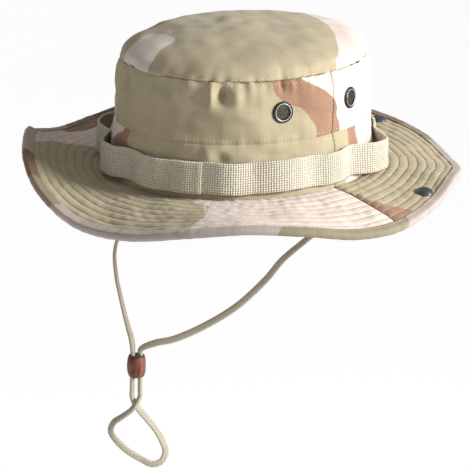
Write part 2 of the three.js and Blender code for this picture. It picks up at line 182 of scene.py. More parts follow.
def brim_face(turn, reach, lift):
    """On the brim: reach runs outwards from the crown, and lift is zero on its top face."""
    edge = edge_height(turn)
    share = np.maximum(reach, 0) / BRIM_WIDTH
    slope = np.arctan(1.5 * edge * np.sqrt(share) / BRIM_WIDTH)
    across = reach * np.sqrt(1 - (edge / BRIM_WIDTH) ** 2) - lift * np.sin(slope)
    return oval(turn, 0, across, edge * share ** 1.5 + lift * np.cos(slope))


def dome(turn, climb, out):
    """The top panel: climb runs from 0 at its seam to 1 at the middle."""
    angle = climb * math.pi / 2
    share = np.cos(angle) ** 0.9
    x = share * (HEAD_HALF_WIDTH - 2 * PANEL_LEAN) * np.cos(turn)
    y = share * (HEAD_HALF_LENGTH - 2 * PANEL_LEAN) * np.sin(turn)
    z = CROWN_HEIGHT + 1 + TOP_RISE * np.sin(angle)
    outwards = np.stack([
        np.cos(angle) * np.cos(turn), np.cos(angle) * np.sin(turn), 0.35 + 0 * turn,
    ], axis=-1)
    outwards /= np.linalg.norm(outwards, axis=-1, keepdims=True)
    return np.stack([x, y, z + 0 * turn], axis=-1) + outwards * np.asarray(out)[..., None]


# ---------------------------------------------------------------- how cloth departs from them
def ripple(places, wavelength, seed, waves=14):
    """Smooth unevenness of about that wavelength, between about -1 and 1, without a seam."""
    chance = np.random.default_rng(seed)
    ways = chance.normal(size=(waves, 3))
    ways /= np.linalg.norm(ways, axis=1, keepdims=True)
    paces = math.tau / wavelength * chance.uniform(0.6, 1.5, waves)
    starts = chance.uniform(0, math.tau, waves)
    return np.sin(places @ (ways * paces[:, None]).T + starts).sum(-1) / math.sqrt(waves * 2)


def near(value, middle, width):
    return np.exp(-((value - middle) / width) ** 2)


def turn_gap(turn, degrees):
    """Distance along the crown from a turn, in millimetres."""
    gap = (turn - math.radians(degrees) + math.pi) % math.tau - math.pi
    return gap * MEAN_RADIUS


def ease(value, low, high):
    t = np.clip((value - low) / (high - low), 0, 1)
    return t * t * (3 - 2 * t)


VENT_TURNS = {
    "left_front": -VENT_AHEAD / VENT_HALF_LENGTH,
    "left_rear": VENT_BEHIND / VENT_HALF_LENGTH,
    "right_front": math.pi + VENT_AHEAD / VENT_HALF_LENGTH,
    "right_rear": math.pi - VENT_BEHIND / VENT_HALF_LENGTH,
}
# turn in degrees, height, half width, half height, depth (a negative depth is a fold standing out)
WALL_DENTS = [
    (-52, 72, 4.0, 5.5, 6.4), (-57.5, 73, 2.4, 7, -3.2), (-46, 71, 4, 6, -1.4),
    (-108, 74, 3.4, 6.5, 4.8), (-114, 71, 4.5, 8, -2.4), (-25.5, 77, 1.8, 5, 3.2),
    (-21, 76, 2.2, 5, -1.0), (-80, 75, 2.6, 5, 1.2), (-93, 66, 5, 12, 1.0), (-68, 56, 6, 9, 0.9),
    (-52, 29, 5, 4, 2.4), (-58, 31, 4, 5, -1.8), (-30, 30, 9, 3, 1.6), (-75, 31, 6, 4, 1.8),
    (62, 74, 3.5, 6, 2.8), (121, 72, 4, 7, 3.0), (170, 74, 3.5, 6, 2.6), (206, 73, 4, 6, 3.0),
]
# turn in degrees, half width, length from the seam inwards, depth
TOP_DENTS = [
    (-52, 5, 6, 2.0), (-25.5, 2.2, 9, 2.2), (-20, 3, 7, -1.2), (-107, 5, 7, 2.2),
    (-75, 8, 9, 1.2), (60, 5, 7, 1.8), (130, 6, 8, 1.9), (185, 5, 7, 1.8),
]


def wall_relief(turn, up):
    """How far the crown's sides stand out from the plain oval."""
    flat = crown_wall(turn, up, 0)
    over_side = np.clip((up - BAND_HEIGHT) / SIDE_HEIGHT, 0, 1)
    over_band = np.clip(up / BAND_HEIGHT, 0, 1)
    side = 2.0 * np.sin(math.pi * over_side ** 1.5) + 0.5 * np.sin(math.pi * over_band)
    looseness = ease(up, 2, 22)
    side = side + looseness * (1.1 * ripple(flat, 46, 3) + 0.75 * ripple(flat, 19, 4))
    below_seam = np.maximum(CROWN_HEIGHT - up, 0)
    girth = crown_wall(turn, 0 * up + 60, 0)
    side = side + 0.95 * np.exp(-below_seam / 8) * ripple(girth, 10, 5)
    above_mid = np.abs(up - BAND_HEIGHT)
    side = side + 0.32 * np.exp(-above_mid / 5) * ripple(girth, 8, 6)
    for degrees, height, half_width, half_height, depth in WALL_DENTS:
        side = side - depth * near(turn_gap(turn, degrees), 0, half_width) * near(
            up, height, half_height)
    side = side - 0.7 * near(up, BAND_HEIGHT, 0.8) - 0.5 * ease(up, CROWN_HEIGHT - 2, CROWN_HEIGHT)
    for ear in (0, 180):
        side = side - 0.5 * near(turn_gap(turn, ear), 0, 0.9)
    seats = 1 + 0 * side
    for vent in VENT_TURNS.values():
        away = np.hypot(turn_gap(turn, math.degrees(vent)), up - VENT_HEIGHT)
        seats = seats * ease(away, 6.5, 20)
    return side * seats


def crown_cloth(turn, up, out):
    return crown_wall(turn, up, wall_relief(turn, up) + out)


def top_cloth(turn, climb, out):
    flat = dome(turn, climb, 0)
    from_seam = climb * 60
    rim = dome(turn, 0 * climb, 0)
    side = ease(from_seam, 0, 14) * (1.3 * ripple(flat, 52, 11) + 0.5 * ripple(flat, 22, 12))
    side = side + 0.8 * np.exp(-from_seam / 6) * ripple(rim, 9, 5)
    for degrees, half_width, length, depth in TOP_DENTS:
        side = side - depth * near(turn_gap(turn, degrees), 0, half_width) * np.exp(
            -from_seam / length)
    side = side - 0.4 * near(from_seam, 0, 1.0)
    return dome(turn, climb, side + out)


def quilting(turn, reach):
    """The cloth puffs up between the rows of stitching, and creases across them."""
    rows = np.clip((reach - ROW_FIRST) / ROW_PITCH, -0.5, ROW_COUNT - 0.5)
    puff = 0.55 * np.abs(np.sin(math.pi * rows)) ** 0.75
    ring = oval(turn, 0, 0 * turn + 30, 0 * turn)
    ring = ring + np.stack([0 * turn, 0 * turn, 0.55 * reach + 5 * np.floor(rows)], axis=-1)
    crease = 0.32 * ripple(ring, 9, 21) * np.abs(np.sin(math.pi * rows)) ** 0.5
    sway = 0.5 * ripple(brim_face(turn, reach, 0), 34, 22)
    seams = sum(near(turn_gap(turn, ear), 0, 1.1) for ear in (0, 180))
    ridge = 0.5 * sum(near(turn_gap(turn, ear), 4.5, 2.5) for ear in (0, 180))
    return (puff + crease) * (1 - 0.8 * seams) + sway * ease(reach, 0, 12) - 0.5 * seams + ridge


def inside_tape(reach):
    """1 over the brim, falling to 0 where the edge tape presses it flat."""
    return 1 - ease(reach, BRIM_WIDTH - 9, BRIM_WIDTH - 5)


def brim_cloth(turn, reach, out):
    return brim_face(turn, reach, quilting(turn, reach) * inside_tape(reach) + out)


def under_cloth(turn, reach, out):
    puff = 0.6 * quilting(turn + 0.3, reach) * inside_tape(reach)
    return brim_face(turn, reach, -BRIM_STACK - puff - out)


# ---------------------------------------------------------------- the print's patches
# Outlines on the crown's sides are (degrees of turn, height); on the brim (degrees, reach);
# on the top panel (x, y).
SIDE_SAND = [
    [(-20, 84), (-14, 74), (-6, 68), (-4, 50), (-4, 34), (20, 32), (58, 35), (68, 50), (52, 62),
     (60, 84)],
    [(118, 84), (112, 66), (124, 52), (150, 58), (168, 50), (176, 64), (168, 84)],
    [(200, 34), (206, 48), (226, 54), (236, 44), (232, 34)],
]
SIDE_BROWN = [
    [(-29.5, 85), (-30, 78), (-29, 72.5), (-26, 67.5), (-22, 63.5), (-17, 60.5), (-13.5, 54.5),
     (-10.5, 47.5), (-8.7, 42), (-9.5, 34), (4, 34), (4.5, 42), (2.5, 50), (2, 58), (0, 63.5),
     (-3.5, 68), (-7.5, 72.5), (-11.5, 76), (-16, 80), (-17, 85)],
    [(60, 60), (66, 72), (84, 70), (98, 60), (104, 44), (92, 40), (80, 54)],
    [(184, 84), (182, 70), (190, 60), (204, 64), (214, 76), (218, 84)],
    [(140, 34), (144, 46), (158, 48), (166, 36)],
]
BAND_SAND = [
    [(10, 44), (14, 28), (10, -4), (64, -4), (58, 20), (66, 44)],
    [(-124, 44), (-105, 44), (-107, 34), (-113, 30), (-120, 26), (-128, 30)],
    [(120, 44), (126, 20), (142, 10), (160, 24), (162, 44)],
]
BAND_BROWN = [
    [(9, 44), (9.5, 35), (10, 26), (12, 18), (17, 26), (16.5, 36), (17, 44)],
    [(-106.5, 44), (-107, 36), (-113, 31), (-114, 24), (-103, 22), (-101.5, 33), (-101, 44)],
    [(84, 30), (90, 38), (104, 36), (108, 16), (96, 10)],
    [(186, 44), (190, 26), (204, 20), (210, 34), (206, 44)],
]
TOP_SAND = [
    [(-30, -100), (-36, -81), (-44, -57), (-30, -54), (-10, -61), (-8, -76), (-4, -91),
     (-4, -104)],
    [(96, 8), (79, 6), (72, 15), (60, 30), (45, 43), (18, 58), (-9, 68), (-22, 84), (-20, 108),
     (90, 108)],
]
BRIM_SAND = {"front": [
    [(-60, -6), (-58, 12), (-57, 24), (-56.5, 36), (-59, 48), (-62, 58), (-64, 70), (-30, 74),
     (0, 72), (20, 70), (24, 30), (20, -8)],
    [(-127, 70), (-128, 56), (-146, 34), (-152, 17), (-163, 18), (-178, 36), (-182, 52),
     (-160, 70)],
], "back": [
    [(120, -6), (126, 20), (146, 26), (158, 8), (152, -6)],
]}
BRIM_BROWN = {"front": [
    [(-162, 55), (-167, 45), (-177, 43), (-188, 48), (-184, 60), (-170, 60)],
], "back": [
    [(0.3, 9), (1.3, 20), (2.3, 32), (7, 50), (6, 57), (-3, 57), (-3, 40), (-2, 12)],
    [(9, -4), (10, 3), (24, 3.5), (25, -4)],
    [(96, 34), (104, 52), (122, 56), (128, 44), (112, 30)],
    [(160, 20), (166, 36), (178, 30), (174, 12)],
]}
UNDER_SAND = [
    [(-20, -6), (-24, 30), (-8, 48), (16, 40), (24, 10), (18, -6)],
    [(90, 70), (94, 40), (120, 30), (138, 46), (140, 70)],
    [(200, -6), (204, 30), (232, 40), (246, 20), (240, -6)],
    [(-80, 70), (-76, 50), (-56, 44), (-46, 56), (-48, 70)],
]
UNDER_BROWN = [
    [(40, 20), (46, 44), (66, 40), (72, 22), (58, 12)],
    [(150, 36), (160, 58), (182, 52), (180, 30), (164, 24)],
    [(-100, 10), (-104, 34), (-88, 46), (-78, 30), (-84, 8)],
]
# first and last turn of each length, in degrees
EDGE_SAND = [(-166, -121), (-98, -36), (4, 72), (100, 150)]
EDGE_BROWN = [(-121, -110), (84, 100), (168, 182)]


def rounded(corners, steps=7):
    """A closed smooth curve through an outline's corners."""
    corners = np.array(corners, float)
    a, b, c, d = (np.roll(corners, shift, axis=0) for shift in (1, 0, -1, -2))
    t = (np.arange(steps) / steps)[:, None, None]
    curve = b + t * ((c - a) / 2 + t * (
        (2 * a - 5 * b + 4 * c - d) / 2 + t * (3 * b - 3 * c + d - a) / 2))
    return curve.transpose(1, 0, 2).reshape(-1, 2)


def depth_inside(places, outline):
    """Distance in from an outline's edge, negative outside it."""
    starts = outline
    runs = np.roll(outline, -1, axis=0) - starts
    lengths = (runs ** 2).sum(1) + 1e-9
    nearest = np.full(len(places), 1e9)
    inside = np.zeros(len(places), bool)
    for start, run, length in zip(starts, runs, lengths):
        offset = places - start
        t = np.clip(offset @ run / length, 0, 1)
        nearest = np.minimum(nearest, np.linalg.norm(offset - t[:, None] * run, axis=1))
        crosses = (start[1] > places[:, 1]) != (start[1] + run[1] > places[:, 1])
        lean = np.where(abs(run[1]) > 1e-9, run[0] / (run[1] or 1), 0)
        inside ^= crosses & (offset[:, 0] < offset[:, 1] * lean)
    return np.where(inside, nearest, -nearest)


def deepest(places, outlines):
    return np.max([depth_inside(places, outline) for outline in outlines], axis=0)


def wall_print(outlines):
    """Patches on the crown's sides, unrolled and met by the next turn's."""
    def depth(turn, up):
        flat = [rounded([(math.radians(degrees) * MEAN_RADIUS, height)
                         for degrees, height in outline]) for outline in outlines]
        found = []
        for lap in (-math.tau, 0, math.tau):
            places = np.stack([(turn + lap) * MEAN_RADIUS, up], axis=-1)
            found.append(deepest(places, flat))
        return np.max(found, axis=0)
    return depth


def spread(turn, reach):
    """The brim laid out flat round the crown's mean radius."""
    return np.stack([(MEAN_RADIUS + reach) * np.cos(turn),
                     (MEAN_RADIUS + reach) * np.sin(turn)], axis=-1)


def brim_print(outlines):
    def depth(turn, reach):
        flat = [rounded([spread(math.radians(degrees), far) for degrees, far in outline])
                for outline in outlines]
        return deepest(spread(turn, reach), flat)
    return depth


def top_print(outlines):
    def depth(turn, climb):
        return deepest(dome(turn, climb, 0)[:, :2], [rounded(outline) for outline in outlines])
    return depth


def edge_print(spans):
    """Lengths of one colour along the brim's tape, cut on the slant."""
    def depth(turn, across):
        found = []
        for first, last in spans:
            middle = (first + last) / 2
            half = math.radians(last - first) / 2 * (MEAN_RADIUS + BRIM_WIDTH)
            gap = turn_gap(turn, middle) * (MEAN_RADIUS + BRIM_WIDTH) / MEAN_RADIUS
            found.append(half - np.abs(gap + 0.5 * across))
        return np.max(found, axis=0)
    return depth


def no_patch(turn, climb):
    """For a colour that a panel has none of: far outside any patch, all over."""
    return 0 * turn - 50


# ---------------------------------------------------------------- ways to make a piece
def show(name, bm, material, nodes=(), wall=0.0, body="hat"):
    """Turns a finished bmesh into a piece that stands for its CAD nodes."""
    mesh = bpy.data.meshes.new(name)
    bm.to_mesh(mesh)
    bm.free()
    mesh.materials.append(material)
    mesh.polygons.foreach_set("use_smooth", [True] * len(mesh.polygons))
    piece = bpy.data.objects.new(name, mesh)
    bpy.context.collection.objects.link(piece)
    if wall:
        thickness = piece.modifiers.new("cloth thickness", "SOLIDIFY")
        thickness.thickness = wall * MM
        thickness.offset = -1
    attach(piece, body)
    if nodes:
        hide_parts(*nodes)
    return piece


def bent_cloth(surface, cells, firsts, seconds, flat=None, prints=None, closed=False, depth=None):
    """A flat grid laid out over two measures of a surface and bent onto it. flat gives its map
    in millimetres, and prints the depth inside the print's patches."""
    bm = bmesh.new()
    bmesh.ops.create_grid(bm, x_segments=cells[0], y_segments=cells[1], size=0.5)
    spots = np.array([v.co[:2] for v in bm.verts])
    spots = (spots - spots.min(0)) / np.ptp(spots, axis=0)
    first = firsts[0] + spots[:, 0] * (firsts[1] - firsts[0])
    second = seconds[0] + spots[:, 1] * (seconds[1] - seconds[0])
    out = 0 * first if depth is None else depth(first, second)
    places = surface(first, second, out) * MM
    if flat is None:
        laid = np.stack([first * MEAN_RADIUS, second], axis=-1)
    else:
        laid = flat(first, second)
    cloth_map = bm.loops.layers.uv.verify()
    for vert, place in zip(bm.verts, places):
        vert.co = place
    for face in bm.faces:
        for loop in face.loops:
            loop[cloth_map].uv = laid[loop.vert.index] * MM
    for colour, patch in (prints or {}).items():
        layer = bm.verts.layers.float.new(colour)
        for vert, value in zip(bm.verts, patch(first, second)):
            vert[layer] = value
    bm.normal_update()
    bm.faces.ensure_lookup_table()
    middle = bm.faces[len(bm.faces) // 2]
    corner = middle.verts[0].index
    raised = surface(first[corner:corner + 1], second[corner:corner + 1],
                     out[corner:corner + 1] + 1)[0] * MM
    if middle.normal.dot(Vector(raised) - middle.verts[0].co) < 0:
        bmesh.ops.reverse_faces(bm, faces=bm.faces)
    if closed:
        bmesh.ops.remove_doubles(bm, verts=bm.verts, dist=1e-6)
        slivers = [f for f in bm.faces if f.calc_area() < 1e-12]
        bmesh.ops.delete(bm, geom=slivers, context="FACES")
    return bm


def turned(profile, steps=48, closed=True):
    """A shape turned about Z from a profile of (radius, height)."""
    bm = bmesh.new()
    rim = [bm.verts.new((radius * MM, 0, height * MM)) for radius, height in profile]
    runs = list(zip(rim, rim[1:] + rim[:1])) if closed else list(zip(rim, rim[1:]))
    for start, end in runs:
        bm.edges.new((start, end))
    bmesh.ops.spin(bm, geom=bm.verts[:] + bm.edges[:], cent=(0, 0, 0), axis=(0, 0, 1),
                   angle=math.tau, steps=steps, use_merge=True)
    bmesh.ops.remove_doubles(bm, verts=bm.verts, dist=1e-7)
    bmesh.ops.recalc_face_normals(bm, faces=bm.faces)
    return bm


def soften(bm, width, segments=2, sharper_than=35):
    edges = [e for e in bm.edges
             if len(e.link_faces) == 2 and e.calc_face_angle() > math.radians(sharper_than)]
    bmesh.ops.bevel(bm, geom=edges, offset=width * MM, segments=segments, profile=0.5,
                    affect="EDGES", material=-1)


def frame_on(surface, first, second, down_second):
    """A frame on a surface: X along the turn, Z out of it."""
    spots = [(first, second, 0.0), (first + 0.01, second, 0.0), (first, second + down_second, 0.0)]
    origin, along, across = (
        Vector(surface(*(np.array([v], float) for v in spot))[0]) for spot in spots)
    x_axis = (along - origin).normalized()
    normal = x_axis.cross(across - origin).normalized()
    y_axis = normal.cross(x_axis)
    place = Matrix((x_axis, y_axis, normal)).transposed().to_4x4()
    place.translation = origin * MM
    return place


def bar(length, width, height):
    """One stitch of thread, a small rounded bar along X."""
    bm = bmesh.new()
    size = Matrix.Diagonal((length / 2 * MM, width / 2 * MM, height / 2 * MM, 1))
    bmesh.ops.create_icosphere(bm, subdivisions=1, radius=1, matrix=size)
    mesh = bpy.data.meshes.new("stitch")
    bm.to_mesh(mesh)
    bm.free()
    return mesh


def sew(bm, surface, firsts, seconds, length=2.2, width=0.5, height=0.4, turn=0.0):
    """Stitches along a line on a surface, one at each pair of measures."""
    thread = bar(length, width, height)
    small = 0.004
    here = surface(firsts, seconds, 0 * firsts)
    ahead = surface(firsts + small, seconds, 0 * firsts) - here
    raised = surface(firsts, seconds, 0 * firsts + 1) - here
    for origin, along, normal in zip(here, ahead, raised):
        normal = Vector(normal).normalized()
        x_axis = Vector(along)
        x_axis = (x_axis - normal * x_axis.dot(normal)).normalized()
        place = Matrix((x_axis, normal.cross(x_axis), normal)).transposed().to_4x4()
        place.translation = Vector(origin) * MM
        one = thread.copy()
        one.transform(place @ Matrix.Rotation(turn, 4, "Z"))
        bm.from_mesh(one)
        bpy.data.meshes.remove(one)
    bpy.data.meshes.remove(thread)


def row_round(radius, pitch=3.0):
    """The turns of a row of stitches that runs all the way round."""
    count = int(math.tau * radius / pitch)
    return (np.arange(count) + 0.5) / count * math.tau


def sew_rows(name, cotton, surface, radius, seconds):
    """Shows rows of stitches round a surface, one at each of its second measures."""
    stitches = bmesh.new()
    turns = row_round(radius)
    for second in seconds:
        sew(stitches, surface, turns, 0 * turns + second)
    show(name, stitches, cotton)


# ---------------------------------------------------------------- ways to make a finish
class Finish:
    """A material built from nodes, with short calls for the nodes that cloth needs."""

    def __init__(self, name, roughness, metallic=0.0, sheen=0.0, specular=0.5):
        self.material = bpy.data.materials.new(name)
        self.material.use_nodes = True
        self.tree = self.material.node_tree
        self.shader = self.tree.nodes["Principled BSDF"]
        self.shader.inputs["Roughness"].default_value = roughness
        self.shader.inputs["Metallic"].default_value = metallic
        self.shader.inputs["Sheen Weight"].default_value = sheen
        self.shader.inputs["Specular IOR Level"].default_value = specular

    def add(self, kind, inputs=None, **settings):
        node = self.tree.nodes.new(kind)
        for key, value in settings.items():
            setattr(node, key, value)
        for key, value in (inputs or {}).items():
            if isinstance(value, bpy.types.NodeSocket):
                self.tree.links.new(value, node.inputs[key])
            else:
                node.inputs[key].default_value = value
        return node

    def laid(self):
        return self.add("ShaderNodeUVMap").outputs["UV"]

    def solid(self):
        return self.add("ShaderNodeTexCoord").outputs["Object"]

    def field(self, name):
        return self.add("ShaderNodeAttribute", attribute_name=name).outputs["Fac"]

    def sum(self, operation, first, second=0.0, third=0.0):
        node = self.add("ShaderNodeMath", {0: first, 1: second, 2: third}, operation=operation)
        return node.outputs[0]

    def stretched(self, place, scale):
        return self.add("ShaderNodeMapping", {"Vector": place, "Scale": scale}).outputs[0]

    def noise(self, place, scale, detail=2.0, roughness=0.5):
        return self.add("ShaderNodeTexNoise", {
            "Vector": place, "Scale": scale, "Detail": detail, "Roughness": roughness,
        }).outputs["Fac"]

    def span(self, value, low, high, to_low=0.0, to_high=1.0):
        return self.add("ShaderNodeMapRange", {
            "Value": value, "From Min": low, "From Max": high, "To Min": to_low,
            "To Max": to_high,
        }).outputs["Result"]

    def mix(self, share, first, second, blend="MIX"):
        node = self.add("ShaderNodeMix", {0: share, 6: first, 7: second},
                        data_type="RGBA", blend_type=blend)
        return node.outputs[2]

    def shade(self, colour, amount):
        """Multiplies a colour by a number."""
        grey = self.add("ShaderNodeCombineColor", {0: amount, 1: amount, 2: amount}).outputs[0]
        return self.mix(1.0, colour, grey, "MULTIPLY")

    def finish(self, colour, relief=None, strength=0.3, distance=0.3, roughness=None):
        self.tree.links.new(colour, self.shader.inputs["Base Color"])
        if relief is not None:
            bump = self.add("ShaderNodeBump", {
                "Height": relief, "Strength": strength, "Distance": distance * MM})
            self.tree.links.new(bump.outputs[0], self.shader.inputs["Normal"])
        if roughness is not None:
            self.tree.links.new(roughness, self.shader.inputs["Roughness"])
        return self.material


def paint(red, green, blue):
    """A colour as the eye names it, from 0 to 255, made linear."""
    def linear(value):
        value /= 255
        return value / 12.92 if value <= 0.04045 else ((value + 0.055) / 1.055) ** 2.4
    return (linear(red), linear(green), linear(blue), 1.0)


KHAKI = paint(168, 156, 128)
SAND = paint(208, 193, 182)
BROWN = paint(152, 118, 96)
LINING = paint(190, 180, 152)


def thread_streaks(look):
    """Uneven yarns both ways of the cloth, as noise drawn out along each."""
    place = look.laid()
    warp = look.noise(look.stretched(place, (2600, 90, 1)), 1.0, 1.0)
    weft = look.noise(look.stretched(place, (90, 2600, 1)), 1.0, 1.0)
    return look.sum("ADD", warp, weft)


def row_grooves(look, place):
    """On the brim laid out flat: grooves, which are 1 along each row of stitching, and puckers
    that run across the rows."""
    parts = look.add("ShaderNodeSeparateXYZ", {0: place})
    far = look.add("ShaderNodeVectorMath", {0: place}, operation="LENGTH").outputs["Value"]
    rows = look.sum("DIVIDE", look.sum("SUBTRACT", far, (MEAN_RADIUS + ROW_FIRST) * MM),
                    ROW_PITCH * MM)
    groove = look.span(look.sum("ABSOLUTE", look.sum("SINE", look.sum(
        "MULTIPLY", rows, math.pi))), 0.0, 0.5, 1.0, 0.0)
    turn = look.sum("ARCTAN2", parts.outputs[1], parts.outputs[0])
    spot = look.add("ShaderNodeCombineXYZ", {0: look.sum("MULTIPLY", turn, 34.0), 1: look.sum(
        "FLOOR", rows), 2: look.sum("MULTIPLY", far, 60.0)}).outputs[0]
    return groove, look.noise(spot, 1.0, 2.0)


def printed_cloth(name, quilted=False, painted_shade_factor=1.0):
    """Matt cotton with a three-colour print whose edges are a little ragged; its last argument
    darkens the whole cloth as painted shade, and quilted cloth gets painted shade along its rows of
    stitching.
    """
    look = Finish(name, 0.92, sheen=0.12, specular=0.2)
    place = look.laid()
    ragged = look.span(look.noise(place, 420, 3.0), 0, 1, -0.9, 0.9)
    colour = KHAKI
    for patch, tone in (("sand", SAND), ("brown", BROWN)):
        depth = look.sum("ADD", look.field(patch), ragged)
        colour = look.mix(look.span(depth, -0.2, 0.2), colour, tone)
    streaks = thread_streaks(look)
    colour = look.shade(colour, look.span(streaks, 0.6, 1.4, 0.88, 1.12))
    blotches = look.noise(look.solid(), 38, 3.0, 0.6)
    wear = 0.08
    # blotches vary the tone at random; the shade factor then scales the whole colour down as
    # painted shade
    colour = look.shade(colour, look.span(blotches, 0.3, 0.7, painted_shade_factor - wear, painted_shade_factor + wear))
    if not quilted:
        return look.finish(colour, streaks, 0.35, 0.35)
    groove, pucker = row_grooves(look, place)
    # painted shade: the cloth is darkened along each row of stitching, in its groove
    colour = look.shade(colour, look.span(groove, 0.0, 1.0, 1.0, 0.93))
    relief = look.sum("SUBTRACT", look.sum("MULTIPLY", pucker, 0.6), look.sum(
        "MULTIPLY", groove, 0.6))
    relief = look.sum("ADD", relief, look.sum("MULTIPLY", streaks, 0.35))
    return look.finish(colour, relief, 0.8, 0.7)


def plain_cloth(name, tone, coarse=1.0):
    look = Finish(name, 0.94, sheen=0.1, specular=0.2)
    streaks = thread_streaks(look)
    colour = look.shade(tone, look.span(streaks, 0.6, 1.4, 0.86, 1.14))
    stains = look.noise(look.solid(), 45, 3.0, 0.6)
    colour = look.shade(colour, look.span(stains, 0.3, 0.7, 0.9, 1.08))
    return look.finish(colour, streaks, 0.4 * coarse, 0.4 * coarse)


def waves(look, measure, period):
    return look.sum("SINE", look.sum("MULTIPLY", measure, math.tau / (period * MM)))


def webbing_weave(name, tone):
    """Coarse yarns over and under each other, with painted shade in the gaps between them."""
    period = 3.4
    look = Finish(name, 0.95, sheen=0.1, specular=0.2)
    place = look.laid()
    parts = look.add("ShaderNodeSeparateXYZ", {0: place})
    wander = look.span(look.noise(place, 700, 2.0), 0, 1, -0.0004, 0.0004)
    along = waves(look, look.sum("ADD", parts.outputs[0], wander), period)
    across = waves(look, look.sum("ADD", parts.outputs[1], wander), period * 0.95)
    yarns = look.sum("MULTIPLY", along, across)
    fuzz = look.noise(place, 1500, 3.0)
    relief = look.sum("ADD", look.sum("ABSOLUTE", yarns), look.sum("MULTIPLY", fuzz, 0.5))
    # painted shade and light: the colour follows the yarns' relief, darker in the gaps and lighter
    # on their crowns
    light = look.span(relief, 0.15, 1.0, 0.5, 1.1)
    colour = look.shade(tone, light)
    stains = look.noise(look.solid(), 60, 2.0)
    colour = look.shade(colour, look.span(stains, 0.3, 0.7, 0.93, 1.06))
    return look.finish(colour, relief, 0.9, 0.8)


def thread(name, tone):
    look = Finish(name, 0.75, sheen=0.1, specular=0.3)
    twist = look.noise(look.solid(), 2600, 2.0)
    return look.finish(look.shade(tone, look.span(twist, 0.3, 0.7, 0.8, 1.15)), twist, 0.3, 0.1)


def enamel(name, tone, pale_tone, roughness=0.38):
    """Paint over metal, scuffed through at random and pale along a marked rim: on the eyelets' bead
    that pale ring is a painted highlight, on the snap caps' rim it is wear.
    """
    look = Finish(name, roughness, metallic=0.55)
    place = look.solid()
    scuffs = look.noise(place, 900, 4.0, 0.65)
    rim_mark = look.sum("ADD", look.field("rim_mark"), look.span(scuffs, 0.35, 0.75, -0.35, 0.3))
    share = look.span(rim_mark, 0.45, 0.7)
    colour = look.mix(share, look.shade(tone, look.span(scuffs, 0.3, 0.7, 0.75, 1.3)), pale_tone)
    rough = look.span(scuffs, 0.3, 0.7, roughness - 0.1, roughness + 0.15)
    return look.finish(colour, scuffs, 0.12, 0.1, rough)


def dull_metal(name, tone, roughness):
    look = Finish(name, roughness, metallic=0.95)
    place = look.solid()
    tarnish = look.noise(place, 420, 5.0, 0.65)
    colour = look.mix(look.span(tarnish, 0.4, 0.7), tone, (0.16, 0.12, 0.07, 1))
    rough = look.span(tarnish, 0.3, 0.7, roughness - 0.12, roughness + 0.2)
    return look.finish(colour, tarnish, 0.15, 0.1, rough)


def slider_leather(name):
    """Brown leather: pores and creases, darker towards its cut ends."""
    look = Finish(name, 0.55, sheen=0.05, specular=0.4)
    place = look.solid()
    grain = look.add("ShaderNodeTexVoronoi", {"Vector": place, "Scale": 1400}).outputs[0]
    creases = look.noise(look.stretched(place, (1, 1, 0.35)), 420, 4.0, 0.6)
    colour = look.mix(look.span(creases, 0.3, 0.7), paint(70, 32, 20), paint(146, 84, 55))
    colour = look.mix(look.field("rim_mark"), colour, paint(52, 26, 18))
    relief = look.sum("ADD", look.sum("MULTIPLY", grain, 0.5), creases)
    return look.finish(colour, relief, 0.5, 0.3, look.span(creases, 0.3, 0.7, 0.42, 0.7))


def braid(name, tone):
    """Flat lace: two rows of slanting plaits that meet along its middle."""
    look = Finish(name, 0.9, sheen=0.12, specular=0.25)
    place = look.laid()
    parts = look.add("ShaderNodeSeparateXYZ", {0: place})
    slant = look.sum("ABSOLUTE", look.sum("SINE", look.sum(
        "MULTIPLY", parts.outputs[0], math.pi / (LACE_WIDTH * MM))))
    run = look.sum("ADD", parts.outputs[1], look.sum("MULTIPLY", slant, 0.0035))
    plaits = look.sum("ABSOLUTE", waves(look, run, 3.6))
    fibres = look.noise(look.stretched(place, (1600, 500, 1)), 1.0, 2.0)
    relief = look.sum("ADD", plaits, look.sum("MULTIPLY", fibres, 0.6))
    # painted shade and light: the colour follows the plaits' relief, darker between them and
    # lighter on their crowns
    colour = look.shade(tone, look.span(relief, 0.2, 1.3, 0.5, 1.14))
    return look.finish(colour, relief, 0.7, 0.5)


# ---------------------------------------------------------------- chin cord and its slider
def cord_line(step=0.7):
    """The cord's centreline in even steps: a centripetal curve through its route."""
    points = np.array(CORD_ROUTE, float)
    points = np.vstack([2 * points[0] - points[1], points, 2 * points[-1] - points[-2]])
    line = []
    for a, b, c, d in zip(points, points[1:], points[2:], points[3:]):
        before, over, after = (np.sqrt(np.linalg.norm(q - p)) for p, q in ((a, b), (b, c), (c, d)))
        leave = (b - a) / before - (c - a) / (before + over) + (c - b) / over
        arrive = (c - b) / over - (d - b) / (over + after) + (d - c) / after
        leave, arrive = leave * over, arrive * over
        t = np.linspace(0, 1, 24, endpoint=False)[:, None]
        line.append(b + t * leave + t * t * (3 * (c - b) - 2 * leave - arrive)
                    + t ** 3 * (2 * (b - c) + leave + arrive))
    line = np.vstack([*line, points[-2:-1]])
    gone = np.concatenate([[0], np.cumsum(np.linalg.norm(np.diff(line, axis=0), axis=1))])
    count = int(gone[-1] / step)
    even = np.linspace(0, gone[-1], count + 1)
    return np.stack([np.interp(even, gone, line[:, k]) for k in range(3)], axis=-1), gone[-1]


# how far the lace's broad side is turned from the left front, at shares of its length
LACE_ROLL = [(0, 75), (0.12, 80), (0.24, 60), (0.31, 30), (0.36, 25), (0.42, 35), (0.48, 20),
             (0.53, 5), (0.58, 50), (0.62, 40), (0.68, 15), (0.74, 0), (0.84, 10), (0.9, 35),
             (1, 55)]


